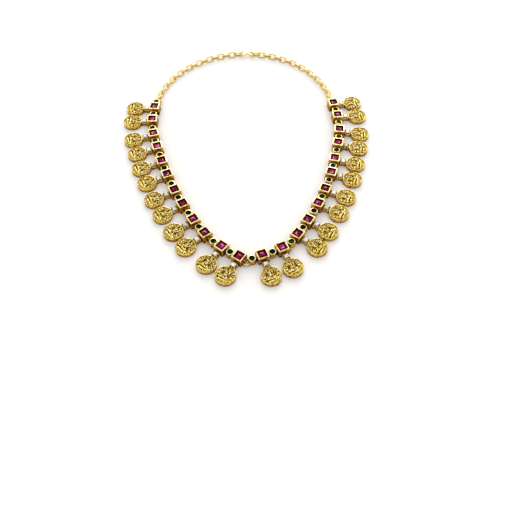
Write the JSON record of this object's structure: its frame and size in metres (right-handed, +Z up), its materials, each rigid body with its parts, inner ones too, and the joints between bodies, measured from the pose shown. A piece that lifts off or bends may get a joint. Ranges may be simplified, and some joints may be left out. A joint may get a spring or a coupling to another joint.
{
  "type": "temple jewellery necklace",
  "caption": "Short hinged necklace of cast gold links with square red, round green and white stones and a row of coin drops, closed behind by a cable chain.",
  "frame": {"origin": "middle of the loop's outline, on the table that the necklace lies on", "axes": "+Z up from the table; -Y towards the wearer's front, where the loop's bend lies; +Y towards the chain and clasp behind the neck; +X to the viewer's right"},
  "size_m": [0.1544, 0.1938, 0.0052],
  "materials": {
    "gold": "bright gilt with brown antiquing in the recesses",
    "ruby": "polished, faceted",
    "emerald": "polished, faceted",
    "white_stone": "polished, faceted"
  },
  "bodies": {
    "root": {"link_01": "gold", "link_02": "gold", "link_03": "gold", "link_04": "gold", "link_05": "gold", "link_06": "gold", "link_07": "gold", "link_08": "gold", "link_09": "gold", "link_10": "gold", "link_11": "gold", "link_12": "gold", "ruby_01": "ruby", "ruby_02": "ruby", "ruby_03": "ruby", "ruby_04": "ruby", "ruby_05": "ruby", "ruby_06": "ruby", "ruby_07": "ruby", "ruby_08": "ruby", "ruby_09": "ruby", "ruby_10": "ruby", "ruby_11": "ruby", "ruby_12": "ruby", "ruby_13": "ruby", "ruby_14": "ruby", "ruby_15": "ruby", "ruby_16": "ruby", "ruby_17": "ruby", "ruby_18": "ruby", "ruby_19": "ruby", "ruby_20": "ruby", "ruby_21": "ruby", "ruby_22": "ruby", "ruby_23": "ruby", "ruby_24": "ruby", "emeralds": "emerald", "white_stones": "white_stone", "back_chain_right": "gold", "back_chain_left": "gold", "hook_clasp": "gold"}
  },
  "joints": []
}
